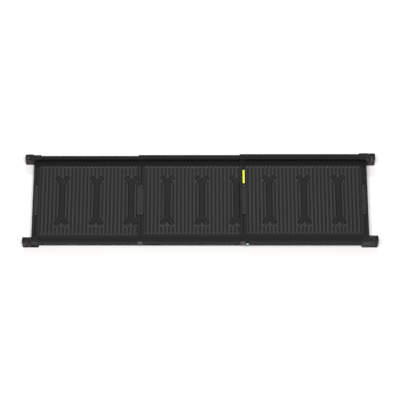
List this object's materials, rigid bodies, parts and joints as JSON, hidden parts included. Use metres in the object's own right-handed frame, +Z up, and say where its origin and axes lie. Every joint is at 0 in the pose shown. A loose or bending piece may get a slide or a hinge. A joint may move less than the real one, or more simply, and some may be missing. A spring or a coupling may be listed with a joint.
{
  "type": "pet ramp",
  "caption": "Telescoping pet ramp laid flat: ribbed decks with bone-shaped pads slide into each other between nested side channels, with rubber feet at the ends and a pull-pin lock.",
  "frame": {"origin": "on the floor under the middle of the extended ramp", "axes": "+X along the ramp towards its widest and highest section, +Y to the left of someone walking that way, +Z up"},
  "size_m": [1.78, 0.497, 0.0716],
  "materials": {
    "rail_coat": "satin black powder coat on aluminium",
    "deck_plastic": "moulded, gritty between smooth ribs",
    "bar_plastic": "moulded satin",
    "collar_plastic": "moulded, half gloss",
    "glide_plastic": "self-lubricating nylon",
    "grip_rubber": "moulded",
    "foot_rubber": "moulded, speckled",
    "black_fitting": "moulded",
    "black_screw": "blackened steel",
    "bare_steel": "turned",
    "marker_strip": "blank bright film",
    "lock_knob": "polished"
  },
  "bodies": {
    "outer": {"lock_housing": "black_fitting", "lock_spring": "bare_steel", "outer_collar_left": "collar_plastic", "outer_collar_right": "collar_plastic", "outer_deck": "deck_plastic", "outer_entry_bar": "bar_plastic", "outer_entry_grip": "grip_rubber", "outer_entry_grip_screws": "black_screw", "outer_exit_bar": "bar_plastic", "outer_exit_grip": "grip_rubber", "outer_exit_grip_screws": "black_screw", "outer_foot_bracket_left": "black_fitting", "outer_foot_bracket_right": "black_fitting", "outer_foot_screws": "black_screw", "outer_rail_left": "rail_coat", "outer_rail_right": "rail_coat", "outer_rivets": "black_screw", "outer_rubber_foot_left": "foot_rubber", "outer_rubber_foot_right": "foot_rubber", "safety_strip": "marker_strip"},
    "middle": {"middle_collar_left": "collar_plastic", "middle_collar_right": "collar_plastic", "middle_deck": "deck_plastic", "middle_end_bar": "bar_plastic", "middle_glide_left": "glide_plastic", "middle_glide_right": "glide_plastic", "middle_grip": "grip_rubber", "middle_grip_screws": "black_screw", "middle_rail_left": "rail_coat", "middle_rail_right": "rail_coat", "middle_rivets": "black_screw", "middle_tail_bar": "bar_plastic"},
    "inner": {"inner_deck": "deck_plastic", "inner_end_bar": "bar_plastic", "inner_foot_bracket_left": "black_fitting", "inner_foot_bracket_right": "black_fitting", "inner_foot_screws": "black_screw", "inner_glide_left": "glide_plastic", "inner_glide_right": "glide_plastic", "inner_grip": "grip_rubber", "inner_grip_screws": "black_screw", "inner_rail_left": "rail_coat", "inner_rail_right": "rail_coat", "inner_rubber_foot_left": "foot_rubber", "inner_rubber_foot_right": "foot_rubber", "inner_tail_bar": "bar_plastic"},
    "lock": {"lock_knob": "lock_knob", "lock_plunger": "bare_steel"}
  },
  "joints": [
    {"name": "middle_slide", "type": "slide", "parent": "outer", "child": "middle", "axis": [1, 0, 0], "range_m": [0, 0.465]},
    {"name": "inner_slide", "type": "slide", "parent": "middle", "child": "inner", "axis": [1, 0, 0], "range_m": [0, 0.465]},
    {"name": "lock_pull", "type": "slide", "parent": "outer", "child": "lock", "axis": [0, -1, 0], "range_m": [0, 0.002], "stiffness_N_per_m": 500, "springref_m": -0.002, "deforming": ["lock_spring"]}
  ]
}
